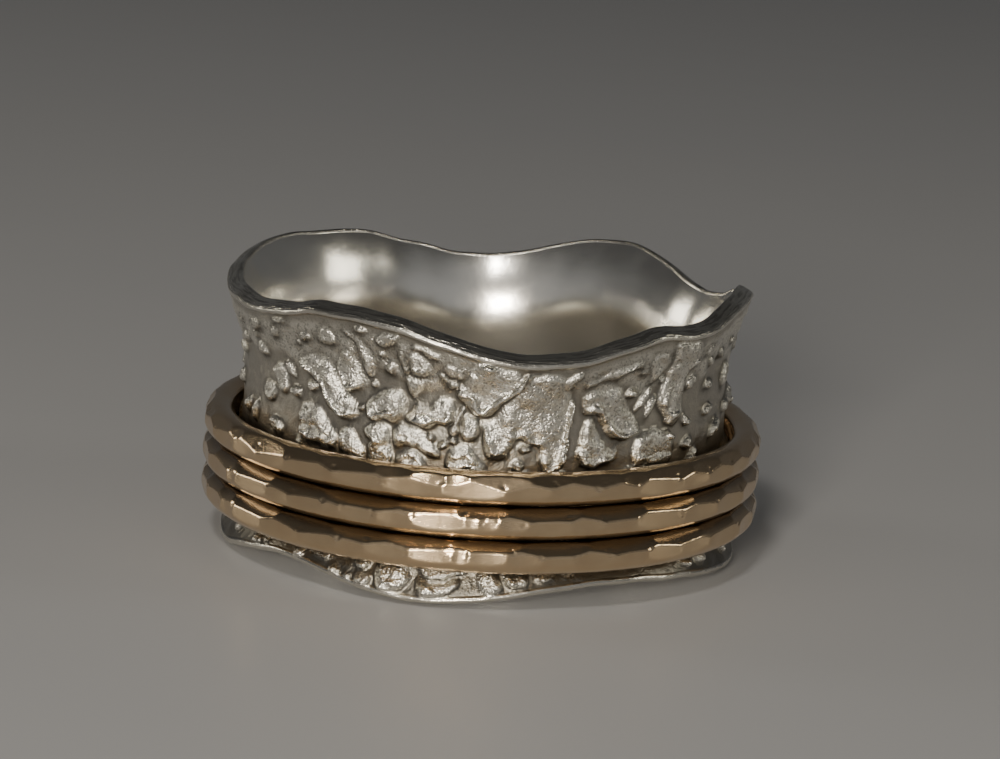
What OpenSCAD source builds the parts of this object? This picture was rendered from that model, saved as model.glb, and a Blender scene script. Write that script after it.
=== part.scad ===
// Spinner ring: a wide silver band with wavy, flared edges and a raised, pebbled
// outside, and three hammered gold wire rings that turn freely round it.
// The ring lies on its wavy foot with the finger hole upright. Lengths are in millimetres.
// The origin is on the surface that it lies on, on the axis of the finger hole.
// Angles are in degrees round the axis: 0 is the front (-Y) and 90 the right side (+X).

/* [Band] */
// Inner diameter of the finger hole
bore_d = 17.35; // [15:0.05:21]
// Thickness of the silver sheet in the valleys of the relief
wall = 0.77; // [0.6:0.01:1.1]
// Mean height of the lip above the surface that the ring lies on
band_h = 10.1; // [8.5:0.1:13]
// How far the relief stands out of the valleys
relief_h = 0.25; // [0.1:0.01:0.35]
// Unit of the relief's chart: half the length of an ordinary island
island = 1.0; // [0.7:0.05:1.2]

/* [Edges] */
// How far the lip stands out past the valleys
lip_flare = 0.9; // [0.7:0.05:1.2]
// Height over which the lip bends out
lip_bend = 2.9; // [2:0.1:3.6]
// Height of the lip's waves above and below their mean
lip_wave = 0.7; // [0:0.05:0.9]
// How far the foot stands out past the valleys
foot_flare = 0.8; // [0.6:0.05:1.1]
// Height over which the foot bends out
foot_bend = 1.85; // [1.4:0.05:2.4]
// Height of the foot's arches above the surface that the ring lies on
foot_wave = 0.76; // [0:0.02:1.1]

/* [Spinners] */
// Diameter of the gold wire before it is hammered
wire_d = 1.26; // [1:0.02:1.5]
// Free space between two spinners
spinner_gap = 0.04; // [0.02:0.01:0.15]
// Free space between the relief and the spinners' bore
run_gap = 0.15; // [0.08:0.01:0.3]
// Free space between the foot and the lowest spinner
seat_gap = 0.07; // [0.05:0.01:0.2]
// Flat that the mandrel leaves on the inside of the wire
bore_flat = 0.12; // [0.05:0.01:0.2]
// Mean depth of the hammer's flats on the outside of the wire
blow_depth = 0.09; // [0.05:0.01:0.2]
// Number of hammer flats round a spinner
blows = 40; // [24:1:48]
// Depth of the hammer's marks on the upper shoulder of the wire
shoulder_depth = 0.08; // [0.04:0.01:0.14]

/* [Hidden] */

bore_r = bore_d / 2;
valley_r = bore_r + wall;
spinner_bore_r = valley_r + relief_h + run_gap;
wire_r = wire_d / 2;
ring_r = spinner_bore_r - bore_flat + wire_r;
pitch = wire_d + spinner_gap;

// How the flares bend: 1 is a straight cone, 2 a parabola.
lip_power = 2;
foot_power = 1.5;
// How square the edges are to the sheet: 1 is square, 0 is level.
lip_square = 0.85;
foot_square = 0.5;
foot_rise = foot_square * wall * sin(atan(foot_power * foot_flare / foot_bend));
// Columns round the band, rows up its outside and rows up each bend of its inside.
columns = 180;
outer_rows = 22;
bend_rows = 3;
// What the cut of the finger hole takes off the inside of the band, and how far the bends
// of the lip and foot start outside it.
bore_skin = 0.15;
bend_step = 0.05;
// Width of the smooth border of the relief along both edges, and of its fade.
border = 0.15;
border_fade = 0.35;
// Width of an island's rounded edge, and the narrowest island that the columns can show.
island_edge = 0.38;
island_least = 0.28;
// Room kept between the relief and a spinner below its widest part.
relief_room = 0.25;
// Heights of the foot that are tried as the seat of the lowest spinner.
seat_tries = 20;
// How far the hammer's flats stray from even spacing, as a share of it, and how much
// their depths differ, as a share of the rise of the ring between two of them.
blow_stray = 0.25;
blow_uneven = 0.5;
// Lean of the marks on the upper shoulder and how far it and their spacing stray.
shoulder_lean = 50;
lean_stray = 8;
shoulder_stray = 0.3;

// Waves of the lip: angle, share of lip_wave above the mean height.
LIP_WAVES = [
    [-138, 0.81], [-124, 0.94], [-63, -0.09], [-32, 0.80], [14, -0.97], [41, 0.23],
    [50, 0.06], [78, 1.11], [116, -0.81], [146, 0.80], [183, -0.81]
];
// Arches of the foot: angle, share of foot_wave above the surface.
FOOT_WAVES = [
    [-78, 0], [-47, 1], [-13, 0], [30, 0.97], [88, 0], [138, 0.95], [187, 0], [235, 1]
];

// Islands of the relief on the front half. The back half repeats them.
// angle, share of band_h, shares of island for half the length and half the width,
// turn of the long side out of the horizontal, share of relief_h.
ISLANDS = [
    [-84, 0.735, 0.50, 0.35, 30, 0.9], [-82, 0.930, 0.32, 0.20, 10, 0.9],
    [-80, 0.540, 0.50, 0.35, 0, 0.9], [-73, 0.823, 0.45, 0.24, 8, 1.0],
    [-73, 0.630, 0.70, 0.42, 10, 0.8], [-66, 0.730, 0.60, 0.40, 0, 0.7],
    [-65.5, 0.550, 0.34, 0.29, 60, 1.0], [-61, 0.828, 0.48, 0.32, -10, 1.0],
    [-59, 0.646, 0.75, 0.45, 5, 0.7], [-56, 0.545, 0.55, 0.24, -25, 1.0],
    [-55, 0.732, 0.60, 0.30, -55, 1.0], [-52, 0.752, 0.50, 0.36, -70, 0.8],
    [-51, 0.565, 0.50, 0.40, 0, 0.8], [-40.8, 0.596, 1.05, 0.78, -10, 1.0],
    [-38, 0.939, 0.50, 0.33, -10, 1.0], [-37.5, 0.752, 1.75, 0.55, -33, 1.0],
    [-36, 0.853, 1.25, 0.60, -8, 0.9], [-31.5, 0.798, 0.62, 0.36, -62, 1.25],
    [-30.8, 0.566, 0.62, 0.52, -60, 1.0], [-27, 0.889, 0.80, 0.33, -78, 1.1],
    [-23, 0.616, 0.50, 0.44, 20, 0.9], [-22.4, 0.540, 0.52, 0.42, -15, 1.0],
    [-21.2, 0.722, 0.88, 0.64, -12, 1.0], [-15.5, 0.527, 0.72, 0.42, 0, 1.0],
    [-15.2, 0.818, 0.50, 0.34, 15, 0.9], [-14.2, 0.601, 1.10, 0.32, -24, 0.9],
    [-13.8, 0.904, 0.60, 0.52, -35, 1.0], [-11.8, 0.722, 1.15, 0.62, 8, 1.0],
    [-7.5, 0.884, 0.42, 0.38, 0, 0.9], [-3.2, 0.556, 0.74, 0.55, -8, 1.0],
    [-2.2, 0.677, 0.62, 0.44, -75, 0.9], [-0.5, 0.828, 1.30, 0.72, 32, 1.1],
    [4.2, 0.621, 0.68, 0.52, -10, 1.15], [10.5, 0.712, 1.65, 1.30, 78, 1.0],
    [18.3, 0.697, 1.75, 0.28, 88, 1.2], [26.8, 0.581, 0.88, 0.50, 8, 1.0],
    [27, 0.753, 1.15, 0.85, 80, 0.9], [28.5, 0.887, 1.35, 0.28, 14, 1.1],
    [32.8, 0.675, 0.85, 0.45, -28, 1.1], [41.8, 0.899, 0.60, 0.28, 48, 1.0],
    [43, 0.566, 1.15, 0.50, -10, 1.0], [46.2, 0.773, 1.10, 0.90, 85, 1.0],
    [48, 0.924, 0.90, 0.50, -5, 1.0], [53.6, 0.813, 0.36, 0.30, 20, 0.9],
    [62.5, 0.768, 0.45, 0.30, 10, 0.8], [66, 0.869, 0.50, 0.28, -10, 0.9],
    [68, 0.586, 0.55, 0.30, 35, 1.0], [75, 0.778, 0.60, 0.35, 70, 0.9],
    [80, 0.545, 0.50, 0.35, 0, 0.9], [82, 0.869, 0.45, 0.30, -20, 0.9],
    [84, 0.667, 0.70, 0.50, 15, 0.9],
    [-34.5, 0.110, 0.45, 0.28, 0, 1.0], [-24.3, 0.076, 0.50, 0.36, 70, 1.0],
    [-17.8, 0.076, 0.62, 0.50, 80, 1.0], [-7.2, 0.081, 0.95, 0.52, 5, 1.0],
    [3.5, 0.096, 0.42, 0.30, 30, 1.0]
];
// The stretch under the spinners mirrors the islands between these shares of band_h
// about their middle, turned round the band.
MIRROR_FROM = 0.52;
MIRROR_TO = 0.86;
MIRROR_AT = 0.51;
MIRROR_TURN = 40;

// Each island as angle, height, half length, half width, cosine and sine of its turn, rise.
function island_row(angle, share, row, tilt) = [
    angle, share * band_h, row[2] * island, row[3] * island, cos(tilt), sin(tilt), row[5]
];
islands = [
    for (half = [0, 180])
        for (row = ISLANDS)
            if (row[3] >= island_least)
                for (copy = [0, 1])
                    if (copy == 0 || (row[1] > MIRROR_FROM && row[1] < MIRROR_TO))
                        copy == 0
                            ? island_row(row[0] + half, row[1], row, row[4])
                            : island_row(row[0] + half + MIRROR_TURN, 2 * MIRROR_AT - row[1], row, -row[4])
];

// The angle brought into the turn that starts at from.
function turned(angle, from) = angle - 360 * floor((angle - from) / 360);

// A smooth wave through the rows of a chart.
function wave(rows, angle) =
    let (
        a = turned(angle, rows[0][0]),
        i = max([for (k = [0:len(rows) - 1]) if (rows[k][0] <= a) k]),
        low = rows[i],
        high = i < len(rows) - 1 ? rows[i + 1] : [rows[0][0] + 360, rows[0][1]],
        t = (a - low[0]) / (high[0] - low[0])
    )
    low[1] + (high[1] - low[1]) * (1 - cos(180 * t)) / 2;

function lip_z(angle) = band_h + lip_wave * wave(LIP_WAVES, angle);
function foot_z(angle) = foot_rise + foot_wave * wave(FOOT_WAVES, angle);

// How far a flare stands out at a height s from its edge, and the slope of the sheet there.
function flare(reach, bend, power, s) = s >= bend ? 0 : reach * pow(1 - s / bend, power);
function slope(reach, bend, power, s) =
    s >= bend ? 0 : reach * power / bend * pow(1 - s / bend, power - 1);
function lip_flare_at(s) = flare(lip_flare, lip_bend, lip_power, s);
function foot_flare_at(s) = flare(foot_flare, foot_bend, foot_power, s);

// Height of the lowest spinner's middle: it rests on the highest arch of the foot.
seat_z = max([
    for (k = [0:seat_tries])
        let (
            s = foot_bend * k / seat_tries,
            aside = ring_r - valley_r - foot_flare_at(s),
            reach = wire_r + seat_gap
        )
        if (abs(aside) < reach) foot_rise + foot_wave + s + sqrt(reach * reach - aside * aside)
]);

// Radius that the relief may reach beside the spinners.
function clear_r(z) =
    min([
        for (k = [0:2])
            let (aside = z - seat_z - k * pitch, reach = wire_r + seat_gap + relief_room)
            abs(aside) < reach ? ring_r - sqrt(reach * reach - aside * aside) : 2 * ring_r
    ]);
function relief_limit(z) = max(clear_r(z), z > seat_z - wire_r ? spinner_bore_r - run_gap : 0);

function smooth(t) = t <= 0 ? 0 : t >= 1 ? 1 : t * t * (3 - 2 * t);
function dome(t) = t <= 0 ? 0 : t >= 1 ? 1 : sqrt(1 - (1 - t) * (1 - t));

// Rise of the relief at an angle and height: the highest island there.
function relief(angle, z) =
    max([
        0,
        for (row = islands)
            let (
                x = turned(angle - row[0], -180) * PI / 180 * valley_r,
                y = z - row[1],
                far = row[2] + row[3]
            )
            if (abs(x) < far && abs(y) < far)
                let (
                    u = (x * row[4] + y * row[5]) / row[2],
                    v = (y * row[4] - x * row[5]) / row[3]
                )
                row[6] * dome((1 - sqrt(u * u + v * v)) * row[3] / island_edge)
    ]);

function outer_r(angle, z, top, bottom) =
    let (
        sheet = valley_r + lip_flare_at(top - z) + foot_flare_at(z - bottom),
        fade = smooth((min(top - z, z - bottom) - border) / border_fade),
        raised = sheet + relief_h * fade * relief(angle, z)
    )
    max(sheet, min(raised, relief_limit(z)));

// The inside of the sheet beside a point of its outside: radius and height.
function inside(reach, bend, power, s, z, square) =
    let (
        lean = atan(slope(reach, bend, power, s)),
        r = valley_r + flare(reach, bend, power, s) - wall * cos(lean)
    )
    [max(r, bore_r + bend_step), z + square * wall * sin(lean)];

// One column: the section of the band as a closed loop, up the outside and down the inside.
function column(angle) =
    let (
        top = lip_z(angle),
        bottom = foot_z(angle),
        outside = [
            for (j = [0:outer_rows])
                let (z = bottom + (top - bottom) * j / outer_rows)
                [outer_r(angle, z, top, bottom), z]
        ],
        upper = [
            for (j = [0:bend_rows])
                let (s = lip_bend * j / bend_rows)
                inside(lip_flare, lip_bend, lip_power, s, top - s, lip_square)
        ],
        straight = [
            [bore_r - bore_skin, top - lip_bend],
            [bore_r - bore_skin, bottom + foot_bend]
        ],
        lower = [
            for (j = [bend_rows:-1:0])
                let (s = foot_bend * j / bend_rows)
                inside(foot_flare, foot_bend, foot_power, s, bottom + s, -foot_square)
        ]
    )
    [
        for (p = concat(outside, upper, straight, lower))
            [p[0] * sin(angle), -p[0] * cos(angle), p[1]]
    ];

module band_shell() {
    loop = outer_rows + 1 + 2 * (bend_rows + 2);
    points = [for (i = [0:columns - 1]) each column(i * 360 / columns)];
    faces = [
        for (i = [0:columns - 1], j = [0:loop - 1])
            let (
                here = i * loop,
                next = (i + 1) % columns * loop,
                up = (j + 1) % loop
            )
            each [
                [here + j, here + up, next + up],
                [here + j, next + up, next + j]
            ]
    ];
    polyhedron(points, faces, convexity = 8);
}

// The silver band, with its finger hole bored true.
module band() {
    color([0.76, 0.75, 0.71])
        difference() {
            band_shell();
            translate([0, 0, -band_h])
                cylinder(r = bore_r, h = 3 * band_h, $fn = 128);
        }
}

// A number from -1 to 1 that looks random but stays the same.
function scatter(k, seed) = sin(k * 137.5 + seed * 71) * cos(k * 59 + seed * 23);

// Outline of the hammered outside seen from above: a polygon of uneven flats.
function flats(seed) =
    let (
        step = 360 / blows,
        outer = ring_r + wire_r,
        rise = outer * (1 - cos(step / 2)),
        turn = [for (k = [0:blows]) step * (k + blow_stray * scatter(k % blows, seed))],
        away = [for (k = [0:blows]) outer - blow_depth + blow_uneven * rise * scatter(k % blows, seed + 5)]
    )
    [
        for (k = [0:blows - 1])
            let (
                a = turn[k], b = turn[k + 1],
                p = away[k], q = away[k + 1]
            )
            [p * sin(b) - q * sin(a), q * cos(a) - p * cos(b)] / sin(b - a)
    ];

// A gold wire ring, round in section, flattened inside and hammered outside.
module spinner(level, seed) {
    z = seat_z + level * pitch;
    marks = floor(blows / 2);
    color([0.80, 0.63, 0.41])
        translate([0, 0, z])
            difference() {
                intersection() {
                    rotate_extrude($fn = 128)
                        translate([ring_r, 0])
                            circle(r = wire_r, $fn = 48);
                    translate([0, 0, -wire_d])
                        linear_extrude(2 * wire_d)
                            polygon(flats(seed));
                }
                translate([0, 0, -wire_d])
                    cylinder(r = spinner_bore_r, h = 2 * wire_d, $fn = 128);
                for (k = [0:marks - 1])
                    rotate([0, 0, (k + shoulder_stray * scatter(k, seed + 9)) * 360 / marks])
                        translate([ring_r, 0, 0])
                            rotate([0, -shoulder_lean - lean_stray * scatter(k, seed + 3), 0])
                                translate([wire_r - shoulder_depth, -wire_d, -wire_r])
                                    cube([wire_d, 2 * wire_d, wire_d]);
            }
}

band();
spinner(0, 1);  // spinner_bottom
spinner(1, 2);  // spinner_middle
spinner(2, 3);  // spinner_top
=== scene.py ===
"""Looks of a spinner ring: a pebbled silver band and three hammered gold wire rings.

The waves of the edges are those of the part's source. The large islands, which are ovals there, are
drawn by their outlines here, in about the same places. Charts are in millimetres and degrees, and sizes
in the panel are in metres. Angles run round the finger hole: 0 is the front, towards -Y, and 90 is the
right side, towards +X.
"""
import math
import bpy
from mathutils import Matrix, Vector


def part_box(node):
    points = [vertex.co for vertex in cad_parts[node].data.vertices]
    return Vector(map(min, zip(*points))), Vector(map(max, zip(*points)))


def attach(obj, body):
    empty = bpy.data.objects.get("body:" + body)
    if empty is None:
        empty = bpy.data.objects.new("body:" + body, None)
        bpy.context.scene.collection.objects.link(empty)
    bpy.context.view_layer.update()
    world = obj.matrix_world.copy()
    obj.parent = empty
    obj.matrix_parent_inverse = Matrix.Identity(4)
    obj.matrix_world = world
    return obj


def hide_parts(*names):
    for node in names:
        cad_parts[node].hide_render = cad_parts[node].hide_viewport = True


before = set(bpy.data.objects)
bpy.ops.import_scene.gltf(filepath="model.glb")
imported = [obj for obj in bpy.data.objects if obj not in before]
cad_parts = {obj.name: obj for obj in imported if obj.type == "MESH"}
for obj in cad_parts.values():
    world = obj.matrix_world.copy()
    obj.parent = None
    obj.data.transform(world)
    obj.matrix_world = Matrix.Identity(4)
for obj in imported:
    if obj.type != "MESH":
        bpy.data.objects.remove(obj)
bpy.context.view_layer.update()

from types import SimpleNamespace as Values

import bpy
import numpy as np
from bpy.props import FloatProperty, FloatVectorProperty, IntProperty, PointerProperty
from mathutils import Matrix, Vector

bl_info = {
    "name": "Spinner ring",
    "version": (1, 0, 0),
    "blender": (4, 5, 0),
    "location": "View3D > Sidebar > Ring",
    "description": "Builds a pebbled silver band with hammered gold spinner rings, and its stage",
    "category": "Mesh",
}

MM = 0.001
SPINNERS = ("spinner_bottom", "spinner_middle", "spinner_top")
BODY_OF = {"spinner_bottom": "bottom_ring", "spinner_middle": "middle_ring", "spinner_top": "top_ring"}


def middle_height(node):
    """Height of the middle of a wire ring, in millimetres, taken from the frame."""
    low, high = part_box(node)
    return (low.z + high.z) / 2 / MM


# Waves of the lip: angle, share of lip_wave above the mean height.
LIP_WAVES = [
    (-138, 0.81), (-124, 0.94), (-63, -0.09), (-32, 0.80), (14, -0.97), (41, 0.23),
    (50, 0.06), (78, 1.11), (116, -0.81), (146, 0.80), (183, -0.81),
]
# Arches of the foot: angle, share of foot_wave above the surface.
FOOT_WAVES = [
    (-78, 0), (-47, 1), (-13, 0), (30, 0.97), (88, 0), (138, 0.95), (187, 0), (235, 1),
]

# Height of the middle wire ring in the charts of the relief.
CHART_STACK = 3.28
# Large islands of the relief: share of relief_h, then the outline's corners as angle and height.
OUTLINES = [
    (1, [(-46.4, 8.19), (-43, 7.72), (-40.3, 7.4), (-38.9, 7.05), (-37.5, 6.78), (-35.5, 6.56),
        (-33.3, 6.36), (-31, 6.31), (-29.2, 6.45), (-28.2, 6.72), (-28.8, 6.98), (-31.6, 7.28),
        (-33.6, 7.6), (-34.9, 7.95), (-35.6, 8.4), (-37.4, 8.8), (-41, 8.66), (-44.5, 8.42)]),
    (1.05, [(-34.7, 8.2), (-33.9, 7.9), (-32.9, 7.62), (-31.6, 7.46), (-30, 7.42), (-28.7, 7.5),
        (-28.1, 7.8), (-28.4, 8.25), (-29.2, 8.7), (-30.6, 9), (-32.6, 9.02), (-34.4, 8.7)]),
    (1.15, [(-32.4, 9.88), (-30.6, 9.92), (-28.6, 9.74), (-26.6, 9.46), (-25.2, 9.12), (-24.4, 8.74),
        (-24.8, 8.36), (-26, 8.13), (-27.1, 8.2), (-27.8, 8.56), (-28.3, 8.96), (-28.9, 9.32),
        (-30.2, 9.56), (-31.8, 9.72)]),
    (1, [(-24.2, 9.62), (-23.3, 9.86), (-21.5, 9.98), (-18.8, 9.96), (-18.5, 9.78), (-20.2, 9.52),
        (-22.5, 9.4)]),
    (1.1, [(-16.9, 9.2), (-15.8, 9.5), (-14, 9.46), (-12.2, 9.2), (-11, 8.92), (-11.3, 8.6), (-12.6, 8.46),
        (-14.5, 8.44), (-15.9, 8.58), (-16.8, 8.86)]),
    (0.95, [(-15.9, 9.68), (-14.4, 9.78), (-11.6, 9.54), (-9.1, 9.36), (-9.5, 9.13), (-11.2, 9.17),
        (-13.2, 9.5), (-15.3, 9.58)]),
    (0.9, [(-17.8, 8.3), (-16.5, 8.44), (-14.5, 8.4), (-12, 8.42), (-12.6, 8.05), (-14, 7.75),
        (-15.3, 7.46), (-16.4, 7.58), (-17.3, 7.9)]),
    (1.05, [(-27.2, 7.05), (-26.5, 7.34), (-24.8, 7.6), (-22.8, 7.78), (-20.4, 7.86), (-18.5, 7.66),
        (-17.7, 7.3), (-17.8, 6.9), (-18.3, 6.64), (-20, 6.44), (-21.6, 6.6), (-23, 6.64), (-24.6, 6.48),
        (-25.9, 6.54), (-26.8, 6.76)]),
    (1.1, [(-17.7, 6.76), (-16.3, 7.04), (-15.2, 7.36), (-13.6, 7.2), (-12, 7.32), (-10.4, 7.62),
        (-8.5, 7.78), (-6.8, 7.6), (-6.1, 7.2), (-6.5, 6.86), (-8.2, 6.66), (-10, 6.62), (-11.8, 6.38),
        (-13.4, 6.34), (-15.2, 6.54), (-16.8, 6.58)]),
    (0.8, [(-20.4, 6.2), (-19.3, 6.42), (-17.3, 6.44), (-15, 6.26), (-12.6, 6.16), (-10.8, 6.02),
        (-9.3, 5.64), (-8.8, 5.42), (-11, 5.42), (-13.5, 5.54), (-15.6, 5.74), (-17.6, 5.72), (-19.5, 5.6),
        (-20.4, 5.86)]),
    (1, [(-27, 6.16), (-25.5, 6.42), (-23.5, 6.42), (-21.7, 6.34), (-20.9, 5.95), (-20.2, 5.55),
        (-19.9, 5.2), (-20.6, 4.88), (-23.4, 4.8), (-26.2, 4.9), (-26.1, 5.3), (-25.5, 5.68),
        (-26.6, 5.82)]),
    (1, [(-19.5, 5.16), (-18.6, 5.48), (-17, 5.64), (-15.4, 5.6), (-13.9, 5.42), (-12.6, 5.16),
        (-12.5, 4.94), (-14.5, 4.86), (-17, 4.84), (-19.2, 4.92)]),
    (1, [(-33.9, 5.6), (-33.4, 5.96), (-32, 6.12), (-30.5, 6.02), (-29, 5.76), (-27.5, 5.44), (-26.6, 5.1),
        (-28, 4.9), (-30.5, 4.88), (-33.6, 5.06)]),
    (1.1, [(-46.9, 6.22), (-46, 6.5), (-44, 6.68), (-41, 6.76), (-39.4, 6.62), (-38.6, 6.3), (-36.5, 6.04),
        (-34.8, 5.78), (-34.2, 5.5), (-34.8, 5.2), (-36.5, 5.12), (-38.5, 5.18), (-41.5, 5.22),
        (-44.5, 5.18), (-46.2, 5.4), (-46.8, 5.85)]),
    (0.9, [(-39.8, 9.28), (-38.8, 9.62), (-37, 9.88), (-35, 9.8), (-33.6, 9.52), (-34, 9.22), (-36, 9.12),
        (-38.2, 9.12)]),
    (1.05, [(-6.3, 7.86), (-5.8, 8.3), (-4.2, 8.52), (-3.2, 8.9), (-1.4, 9.22), (1.5, 9.3), (5, 9.16),
        (8.2, 8.84), (9.2, 8.5), (8, 8.24), (6.2, 7.94), (4.4, 7.6), (2.8, 7.26), (1.2, 7.1), (-0.4, 7.08),
        (-2.2, 7.22), (-4, 7.52), (-5.4, 7.62)]),
    (0.88, [(-0.6, 6.86), (-0.1, 6.3), (0.6, 5.8), (2.3, 5.4), (4.8, 5.46), (6.7, 5.78), (7.6, 6.2),
        (8.8, 6.26), (10.2, 5.98), (12, 6.06), (12.6, 5.66), (13.4, 5.36), (14.6, 5), (17.3, 4.9),
        (18.6, 5.3), (19.3, 5.9), (19.6, 6.5), (19.7, 7.2), (19.8, 7.6), (18.8, 8.1), (17.6, 8.45),
        (16.8, 8.84), (14.5, 9.02), (11.8, 8.98), (9.4, 8.74), (8.8, 8.36), (6.6, 7.9), (4.6, 7.46),
        (2.5, 7.02), (0.6, 6.94)]),
    (1.7, [(17.2, 4.92), (18.8, 5.3), (19.7, 6.3), (20.1, 7.2), (20, 7.72), (18.9, 7.78), (18.7, 7),
        (18.2, 6.2), (17.4, 5.6)]),
    (1.05, [(16.7, 8.38), (17.1, 8.66), (18.5, 8.84), (20.9, 8.9), (21.1, 8.74), (19.6, 8.54), (18.4, 8.18),
        (17.4, 8.18)]),
    (1.1, [(21.8, 8.36), (22.1, 8.62), (23.6, 8.62), (25.2, 8.8), (28, 9.02), (32, 9.22), (35.6, 9.28),
        (36.5, 9.1), (35.8, 8.94), (33, 8.84), (30.8, 8.72), (29.4, 8.42), (27.4, 8.38), (24.5, 8.46),
        (23.3, 8.36), (22.6, 8.2)]),
    (1, [(22.5, 8.02), (24, 8.3), (28, 8.28), (31, 8.24), (32.4, 8.02), (33.3, 7.58), (34.9, 7.24),
        (36.9, 6.92), (37.8, 6.55), (36.6, 6.22), (34, 6.13), (31.5, 6.14), (29.3, 6.34), (27.9, 6.64),
        (27.1, 7.02), (26, 7.24), (24, 7.08), (22.8, 7.3), (22.3, 7.66)]),
    (0.85, [(22.1, 6), (22.8, 6.62), (24.4, 7), (25.8, 7.02), (26.5, 6.54), (27.6, 6.2), (29.4, 5.92),
        (31, 5.82), (32.7, 6.06), (32.2, 5.62), (31, 5.36), (29, 5.26), (27.6, 5.24), (26.2, 5.02),
        (24.4, 5.1), (23, 5.14), (22.2, 5.5)]),
    (0.95, [(38.2, 9.1), (38.6, 9.4), (40.5, 9.5), (42.6, 9.38), (43.4, 8.98), (42.4, 8.54), (40.5, 8.32),
        (38.5, 8.18), (38.7, 8.5)]),
    (0.95, [(36.1, 5.34), (36.2, 5.76), (37.5, 6.12), (39.5, 6.32), (42, 6.42), (45, 6.34), (47.6, 6.2),
        (49.2, 5.72), (49.4, 5.3), (48, 5), (43, 4.95), (38, 5.02)]),
    (1.05, [(43.4, 9.66), (45, 9.86), (48, 9.88), (51.2, 9.78), (53.4, 9.5), (54.4, 9.02), (53.8, 8.72),
        (52, 8.58), (51, 8.42), (50.4, 8.05), (50.8, 7.62), (51.9, 7.22), (51.7, 6.84), (50, 6.58),
        (48, 6.48), (46, 6.54), (44.4, 6.8), (43, 7.2), (42.2, 7.72), (43.4, 8.2), (44.2, 8.8),
        (43.8, 9.2)]),
    (1, [(-4.9, 6.66), (-4.3, 7.04), (-2.6, 7.1), (-1, 6.94), (-0.6, 6.56), (-1.2, 6.24), (-2.8, 6.08),
        (-4.4, 6.22)]),
    (1.05, [(-7.9, 5.36), (-7.3, 5.72), (-5.5, 5.98), (-3.4, 6), (-1.4, 5.8), (0, 5.48), (1.4, 5.16),
        (2.6, 4.92), (-1, 4.86), (-5, 4.86), (-7.5, 5.06)]),
    (1, [(-56.9, 7.6), (-55.5, 7.86), (-53, 7.9), (-51.2, 7.62), (-50.6, 7.1), (-51.5, 6.74), (-53.5, 6.68),
        (-55, 6.94), (-55.6, 7.28)]),
    (1.05, [(-58.5, 5.46), (-57, 5.66), (-54.5, 5.72), (-52.4, 5.52), (-52.9, 5.18), (-54.3, 5.06),
        (-56.5, 5.22)]),
    (1.1, [(-21.4, 1.34), (-21.7, 0.9), (-21.3, 0.45), (-20.2, 0.2), (-18, 0.14), (-15.8, 0.26),
        (-14.4, 0.56), (-14, 1), (-14.4, 1.34), (-17.8, 1.42)]),
    (1, [(-26.9, 1.3), (-26.9, 0.96), (-25.6, 0.86), (-24.2, 0.94), (-23.4, 1.2), (-24.6, 1.4)]),
    (1, [(-26.4, 0.66), (-26.2, 0.36), (-24.6, 0.24), (-22.8, 0.34), (-22.1, 0.64), (-22.8, 0.84),
        (-24.6, 0.78)]),
    (1.1, [(-12.7, 0.84), (-12.3, 0.42), (-11.2, 0.17), (-9.2, 0.15), (-6.6, 0.27), (-4.4, 0.48),
        (-2.8, 0.78), (-3.8, 0.88), (-6.4, 0.8), (-9.6, 0.76), (-11.6, 0.78)]),
    (0.9, [(-12.7, 1.36), (-12.4, 1), (-10.4, 0.84), (-7, 0.88), (-3.6, 0.98), (-2, 1.16), (-2.2, 1.42),
        (-7, 1.44)]),
    (0.95, [(0.4, 1.1), (0.5, 0.74), (1.8, 0.46), (3.8, 0.42), (5.4, 0.6), (5.9, 0.9), (4.8, 1.16),
        (2.6, 1.24)]),
    (1.05, [(5.9, 1.34), (6.2, 1), (7.4, 0.72), (9.2, 0.62), (11, 0.74), (11.2, 1.1), (10.2, 1.4),
        (8, 1.42)]),
]
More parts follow.
